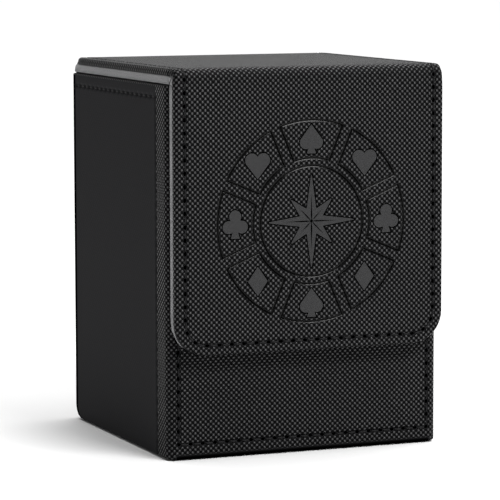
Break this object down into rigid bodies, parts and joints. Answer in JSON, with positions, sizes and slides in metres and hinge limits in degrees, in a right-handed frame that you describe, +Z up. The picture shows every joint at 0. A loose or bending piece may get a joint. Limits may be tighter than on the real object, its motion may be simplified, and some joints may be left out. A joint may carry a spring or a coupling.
{
  "type": "card deck box",
  "caption": "Flip-top card deck box of leatherette over board, with a rigid lid and front flap that fold back on leatherette hinges and close by magnets.",
  "frame": {"origin": "centre of the box body's footprint, on the face it stands on", "axes": "+X to the user's right, -Y out of the front where the flap hangs, +Z up"},
  "size_m": [0.0794, 0.0827, 0.1046],
  "materials": {
    "leatherette": "matt black imitation leather with a fine raised dot emboss",
    "microfibre": "soft light grey microfibre suede",
    "greyboard": "raw grey paperboard",
    "thread": "black twisted polyester thread",
    "magnet": "nickel plated"
  },
  "bodies": {
    "box": {"body_wrap": "leatherette", "spine_cover": "leatherette", "front_board": "greyboard", "back_board": "greyboard", "left_board": "greyboard", "right_board": "greyboard", "base_board": "greyboard", "front_lining": "microfibre", "back_lining": "microfibre", "left_lining": "microfibre", "right_lining": "microfibre", "base_lining": "microfibre", "case_magnets": "magnet", "front_stitching": "thread", "left_stitching": "thread", "right_stitching": "thread", "spine_stitching": "thread", "back_hinge": "leatherette", "hinge_lining": "microfibre"},
    "lid": {"lid_cover": "leatherette", "lid_outer_board": "greyboard", "lid_inner_board": "greyboard", "lid_lining": "microfibre", "lid_stitching": "thread", "front_fold": "leatherette", "fold_lining": "microfibre"},
    "flap": {"flap_cover": "leatherette", "flap_outer_board": "greyboard", "flap_inner_board": "greyboard", "flap_lining": "microfibre", "flap_magnets": "magnet", "flap_stitching": "thread"}
  },
  "joints": [
    {"name": "lid_hinge", "type": "hinge", "parent": "box", "child": "lid", "pos_m": [0, 0.03817, 0.10327], "axis": [-1, 0, 0], "range_deg": [0, 200], "deforming": ["back_hinge", "hinge_lining"]},
    {"name": "flap_fold", "type": "hinge", "parent": "lid", "child": "flap", "pos_m": [0, -0.04218, 0.10368], "axis": [-1, 0, 0], "range_deg": [0, 130], "deforming": ["front_fold", "fold_lining"]}
  ]
}
